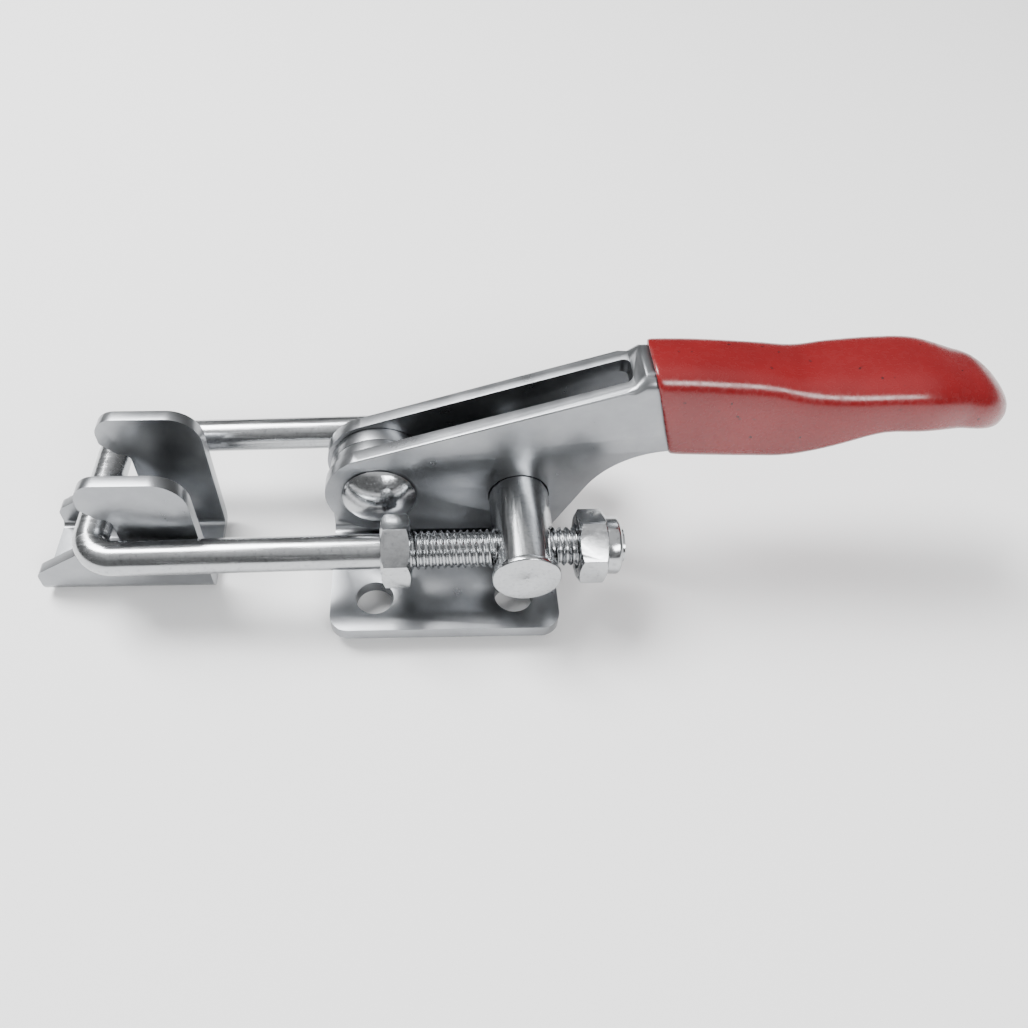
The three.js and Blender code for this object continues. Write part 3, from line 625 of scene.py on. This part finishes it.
def u_bolt(material):
    bm = bmesh.new()
    bent_rod(bm)
    bmesh.ops.recalc_face_normals(bm, faces=bm.faces)
    piece = to_object(bm, "u_bolt_threaded")
    join_into(piece, [rolled_thread(-ROD_HALF_SPACING), rolled_thread(ROD_HALF_SPACING)])
    place(piece, BOLT_FRAME)
    shade(piece, angle=40)
    dress(piece, "u_bolt", material, "u_bolt")


# ---------- Nuts ----------

ACROSS_FLATS = 9.8
CORNER_RADIUS = ACROSS_FLATS / math.sqrt(3)
NUT_BORE = 3.1
JAM_THICKNESS = 4.4
JAM_START = {"front": -21.5, "rear": -10.1}
LOCK_START = 7.9
LOCK_TURN = 33
JAM_TURN = {"front": 33, "rear": 70}
LOCK_HEX = 4.2
LOCK_END = 6.4
NUT_CORNER_ROUND = 0.12
NUT_EDGE = 0.1
CHAMFER_ANGLE = 30
CHAMFER_INSET = 0.1  # of the flat end's circle inside the flats
CHAMFER_REACH = 1.2  # how far the chamfer runs out beyond that circle
COUNTERSINK = 0.45
DRILL_OVERRUN = 1  # past each end of the nut
COLLAR_RADIUS = 4.4
COLLAR_BORE = 3.4
COLLAR_LIP = 0.75  # radius of the roll
COLLAR_SUNK = 1  # how far the collar starts inside the hexagon
NYLON_OUTER = 3.35
NYLON_INNER = 2.98
NYLON_CHAMFER = 0.15
NYLON_START = 0.5  # past the hexagon
NYLON_END_GAP = 0.45  # below the end of the collar


# A hexagon along X, its corners taken off by a 30 degree chamfer at each end, with a countersunk bore.
def hexagon(name, thickness, turn_degrees):
    bm = bmesh.new()
    bmesh.ops.create_cone(
        bm, cap_ends=True, segments=6, radius1=CORNER_RADIUS, radius2=CORNER_RADIUS, depth=thickness,
    )
    bmesh.ops.rotate(bm, verts=bm.verts, matrix=Matrix.Rotation(math.pi / 2, 3, "Y"))
    bmesh.ops.rotate(bm, verts=bm.verts, matrix=Matrix.Rotation(math.radians(turn_degrees), 3, "X"))
    bmesh.ops.translate(bm, verts=bm.verts, vec=(thickness / 2, 0, 0))
    corners = [edge for edge in bm.edges if abs(edge.verts[0].co.x - edge.verts[1].co.x) > thickness / 2]
    bmesh.ops.bevel(
        bm, geom=corners, offset=NUT_CORNER_ROUND, affect="EDGES", segments=3, profile=0.5, material=-1,
    )
    piece = to_object(bm, name)
    face = ACROSS_FLATS / 2 - CHAMFER_INSET
    rim = face + CHAMFER_REACH
    rise = CHAMFER_REACH * math.tan(math.radians(CHAMFER_ANGLE))
    blank = turned("blank", [
        (0, 0),
        (0, face),
        (rise, rim),
        (thickness - rise, rim),
        (thickness, face),
        (thickness, 0),
    ], steps=96)
    combine(piece, blank, "INTERSECT")
    mouth = NUT_BORE + COUNTERSINK + DRILL_OVERRUN
    drill_end = thickness + DRILL_OVERRUN
    drill = turned("drill", [
        (-DRILL_OVERRUN, 0),
        (-DRILL_OVERRUN, mouth),
        (COUNTERSINK, NUT_BORE),
        (thickness - COUNTERSINK, NUT_BORE),
        (drill_end, mouth),
        (drill_end, 0),
    ], steps=DRILL_STEPS)
    combine(piece, drill, "DIFFERENCE")
    ease_edges(piece, NUT_EDGE, segments=2, angle=22)
    return piece


def rod_frame(start, side):
    return BOLT_FRAME @ Matrix.Translation((start, side * ROD_HALF_SPACING, 0))


def jam_nut(side_name, side, material):
    node = "jam_nut_" + side_name
    piece = hexagon(node + "_hexagon", JAM_THICKNESS, JAM_TURN[side_name])
    place(piece, rod_frame(JAM_START[side_name], side))
    shade(piece, angle=25)
    dress(piece, node, material, node)


# The collar is closed over the nylon ring by a rolled lip.
def lock_nut(side_name, side, material):
    node = "lock_nut_" + side_name
    piece = hexagon(node + "_collared", LOCK_HEX, LOCK_TURN)
    sunk = LOCK_HEX - COLLAR_SUNK
    collar = turned("collar", [
        (sunk, COLLAR_BORE),
        (sunk, COLLAR_RADIUS - 0.3),
        (LOCK_HEX + 0.1, COLLAR_RADIUS - 0.1),
        *arc((LOCK_END - COLLAR_LIP, COLLAR_RADIUS - COLLAR_LIP), COLLAR_LIP, 80, 0, steps=8),
        (LOCK_END, COLLAR_BORE),
        (LOCK_END - 0.25, COLLAR_BORE - 0.15),
        (LOCK_END - 0.4, COLLAR_BORE),
        (LOCK_HEX + 0.4, COLLAR_BORE),
        (sunk, COLLAR_BORE),
    ])
    join_into(piece, [collar])
    place(piece, rod_frame(LOCK_START, side))
    shade(piece, angle=25)
    dress(piece, node, material, node)


def nylon_insert(side_name, side, material):
    node = "nylon_insert_" + side_name
    start = LOCK_HEX + NYLON_START
    end = LOCK_END - NYLON_END_GAP
    mouth = NYLON_INNER + NYLON_CHAMFER
    piece = turned(node + "_ring", [
        (start, mouth),
        (start, NYLON_OUTER),
        (end, NYLON_OUTER),
        (end, mouth),
        (end - NYLON_CHAMFER, NYLON_INNER),
        (start + NYLON_CHAMFER, NYLON_INNER),
        (start, mouth),
    ])
    place(piece, rod_frame(LOCK_START, side))
    shade(piece)
    dress(piece, "lock_nut_" + side_name, material, node)


# ---------- Grip ----------

# From the mouth to the tip: how far on from the mouth, how far the middle lies below the top of the
# tongue, half the width, half the height, and the tilt of the section in degrees.
GRIP_STATIONS = [
    (0, 5.45, 5.86, 8.73, 17),
    (6, 5.66, 6.02, 8.36, 6),
    (14, 6.12, 6.12, 7.99, 0),
    (20, 6.3, 6.63, 7.23, 0),
    (26, 4.87, 7.3, 6.06, 0),
    (32, 3.36, 7.45, 4.94, 0),
    (38, 3.38, 7.42, 5.05, 0),
    (44, 4.27, 6.36, 4.46, 0),
]
GRIP_TIP_LENGTH = 8.7
GRIP_TIP_DROP = 4
GRIP_STEPS = 40
GRIP_TIP_STEPS = 10
GRIP_SIDES = 48
GRIP_LIP = 1.0
GRIP_LIP_SETBACK = 0.3  # of the outer skin from the mouth, where the lip's roll begins
POCKET_DEPTH = 8  # of the sleeve's inside that is made, which ends on the tongue
TONGUE_BELOW_NECK = 2
SQUARENESS = 0.5  # of a section at the mouth, where 1 is an ellipse and 0 a rectangle
TIP_SQUARENESS = 0.85
ROUNDING_START = 24  # how far on from the mouth the sections start to grow rounder


# A value between stations, on a smooth curve through them. The share runs from 0 to 1 over all of them.
def between(values, share):
    last = len(values) - 1
    i = min(int(share * last), last - 1)
    u = share * last - i
    a, b, c, d = (values[min(max(k, 0), last)] for k in range(i - 1, i + 3))
    if i == 0:
        a = 2 * b - c
    if i + 2 > last:
        d = 2 * c - b
    square = 2 * a - 5 * b + 4 * c - d
    cube = 3 * b - a - 3 * c + d
    return 0.5 * (2 * b + (c - a) * u + square * u**2 + cube * u**3)


# The outside's sections from the mouth on, with the rounded tip after the last station.
def grip_sections():
    columns = list(zip(*GRIP_STATIONS))
    sections = []
    for i in range(GRIP_STEPS + 1):
        sections.append([between(column, i / GRIP_STEPS) for column in columns])
    on, down, width, height, tilt = sections[-1]
    for i in range(1, GRIP_TIP_STEPS):
        angle = math.pi / 2 * i / GRIP_TIP_STEPS
        sections.append([
            on + GRIP_TIP_LENGTH * math.sin(angle), down + GRIP_TIP_DROP * math.sin(angle) ** 1.5,
            width * math.cos(angle), height * math.cos(angle) ** 0.8, tilt,
        ])
    return sections


# Makes a round ring squarer, sizes it to a section and puts it in place. It is rounder towards the tip.
def shape_ring(verts, angles, mouth, section):
    on, down, width, height, tilt = section
    middle = Matrix.Translation((mouth.x + on, 0, mouth.z - down))
    turn = middle @ Matrix.Rotation(-math.radians(tilt), 4, "Y")
    rounding_length = GRIP_STATIONS[-1][0] + GRIP_TIP_LENGTH - ROUNDING_START
    rounding = max(0, on - ROUNDING_START) / rounding_length
    power = SQUARENESS + (TIP_SQUARENESS - SQUARENESS) * rounding
    for vert, angle in zip(verts, angles):
        cosine, sine = math.cos(angle), math.sin(angle)
        across = math.copysign(abs(cosine) ** power, cosine) * width
        up = math.copysign(abs(sine) ** power, sine) * height
        vert.co = turn @ Vector((0, across, up))


# The sleeve is one skin: the pocket's end, its wall, the rolled lip at the mouth, then the outside.
def handle_grip(material):
    low = box_mm("handle_grip")[0]
    top = box_mm("handle_channel")[1].z
    on, down, width, height, tilt = GRIP_STATIONS[0]
    mouth = Vector((low.x + height * math.sin(math.radians(tilt)), 0, top - TONGUE_BELOW_NECK))
    bm = bmesh.new()
    ring = bmesh.ops.create_circle(bm, radius=1, segments=GRIP_SIDES)["verts"]
    angles = [math.atan2(vert.co.x, vert.co.y) for vert in ring]
    angle_of = dict(zip(ring, angles))
    edges = list(bm.edges)
    lip = [
        (on + ahead, down, width - share * GRIP_LIP, height - share * GRIP_LIP, tilt)
        for ahead, share in ((0.5, 1), (0.1, 0.7), (0, 0.45), (0.05, 0.2))
    ]
    outside = grip_sections()
    outside[0][0] += GRIP_LIP_SETBACK
    pocket_end = (on + POCKET_DEPTH, down + 0.6, width - 1.1, height - 0.9, 4)
    shape_ring(ring, angles, mouth, pocket_end)
    bmesh.ops.edgeloop_fill(bm, edges=edges)
    for section in lip + outside:
        edges, verts = extend_ring(bm, edges)
        linked = {}
        for vert in verts:
            for edge in vert.link_edges:
                other = edge.other_vert(vert)
                if other in angle_of and other not in verts:
                    linked[vert] = angle_of[other]
        shape_ring(list(linked), list(linked.values()), mouth, section)
        angle_of = linked
    bmesh.ops.edgeloop_fill(bm, edges=edges)
    bmesh.ops.recalc_face_normals(bm, faces=bm.faces)
    piece = to_object(bm, "handle_grip_sleeve")
    place(piece)
    add_modifier(piece, "SUBSURF", levels=1, render_levels=1)
    apply_modifiers(piece)
    shade(piece, angle=60)
    dress(piece, "handle", material, "handle_grip")


# ---------- Build ----------

SHEET = zinc_plated_sheet()
ROD_STEEL = bright_zinc("bright_zinc_drawn_rod", (0.05, 1, 1), 0.14, 0.3)
TURNED_STEEL = bright_zinc("bright_zinc_turned", (1, 0.08, 1), 0.12, 0.28)
NUT_STEEL = bright_zinc("bright_zinc_forged_nut", (0.4, 1, 1), 0.13, 0.22)
VINYL = dipped_vinyl()
NYLON = natural_nylon()

pressed_sheet("base_bracket_front", "base", SHEET)
pressed_sheet("base_bracket_rear", "base", SHEET)
pressed_sheet("handle_channel", "handle", SHEET)
pressed_sheet("keeper_plate", "keeper", SHEET)
pivot_rivet(TURNED_STEEL)
cross_shaft(TURNED_STEEL)
u_bolt(ROD_STEEL)
for side_name, side in (("front", -1), ("rear", 1)):
    jam_nut(side_name, side, NUT_STEEL)
    lock_nut(side_name, side, NUT_STEEL)
    nylon_insert(side_name, side, NYLON)
handle_grip(VINYL)


# ---------- Floor, light and camera ----------

FLOOR_HALF_SIZE = 2  # metres
FLOOR_GAP = 0.05  # below the keeper's underside
LIGHT_TARGET = Vector((0, 0, 0.015))  # the middle of the object, in metres


def floor():
    bm = bmesh.new()
    bmesh.ops.create_grid(bm, x_segments=1, y_segments=1, size=FLOOR_HALF_SIZE)
    piece = to_object(bm, "floor")
    piece.data.transform(Matrix.Translation((0, 0, -FLOOR_GAP * MM)))
    piece.data.materials.append(pale_paper())


# An area light that looks at the middle of the object. Its place and its sides are in metres.
def softbox(name, spot, size, power):
    data = bpy.data.lights.new(name, "AREA")
    data.shape = "RECTANGLE"
    data.size, data.size_y = size
    data.energy = power
    light = bpy.data.objects.new(name, data)
    light.location = spot
    light.rotation_euler = (LIGHT_TARGET - Vector(spot)).to_track_quat("-Z", "Y").to_euler()
    bpy.context.scene.collection.objects.link(light)


# A studio that is bright overhead and dimmer towards the horizon, which gives bare metal its contrast.
def studio_sky():
    world = bpy.data.worlds.new("studio")
    world.use_nodes = True
    bpy.context.scene.world = world
    world.node_tree.nodes.clear()
    coords = add(world, "ShaderNodeTexCoord").outputs["Generated"]
    split = add(world, "ShaderNodeSeparateXYZ", links={0: coords})
    sky = add(
        world, "ShaderNodeValToRGB",
        links={"Fac": split.outputs["Z"]},
        stops=[(0.0, grey(0.16)), (0.62, grey(0.3)), (0.92, grey(1.0))],
    )
    background = add(
        world, "ShaderNodeBackground",
        values={"Strength": 1.0},
        links={"Color": sky.outputs[0]},
    )
    add(world, "ShaderNodeOutputWorld", links={"Surface": background.outputs[0]})


CAMERA_SPOT = (-12.229, -94.088, 120.244)
CAMERA_RIGHT = (0.99977, -0.021215, 0.002983)
CAMERA_UP = (0.014306, 0.764795, 0.644115)
CAMERA_LENS = 30.39
CAMERA_SENSOR = 36
CAMERA_SHIFT = (0.0719, -0.0135)  # as shares of the frame
CAMERA_NEAR = 5


def camera():
    data = bpy.data.cameras.new("camera")
    data.sensor_width = CAMERA_SENSOR
    data.lens = CAMERA_LENS
    data.shift_x, data.shift_y = CAMERA_SHIFT
    data.clip_start = CAMERA_NEAR * MM
    right = Vector(CAMERA_RIGHT)
    up = Vector(CAMERA_UP)
    back = right.cross(up)
    turn = Matrix((right, up, back)).transposed().to_4x4()
    eye = bpy.data.objects.new("camera", data)
    eye.matrix_world = Matrix.Translation(Vector(CAMERA_SPOT) * MM) @ turn
    bpy.context.scene.collection.objects.link(eye)
    bpy.context.scene.camera = eye


floor()
studio_sky()
softbox("key", (-0.3, 0.2, 0.6), (0.35, 0.35), 11)
softbox("fill", (0.25, -0.5, 0.45), (0.3, 0.2), 4)
camera()
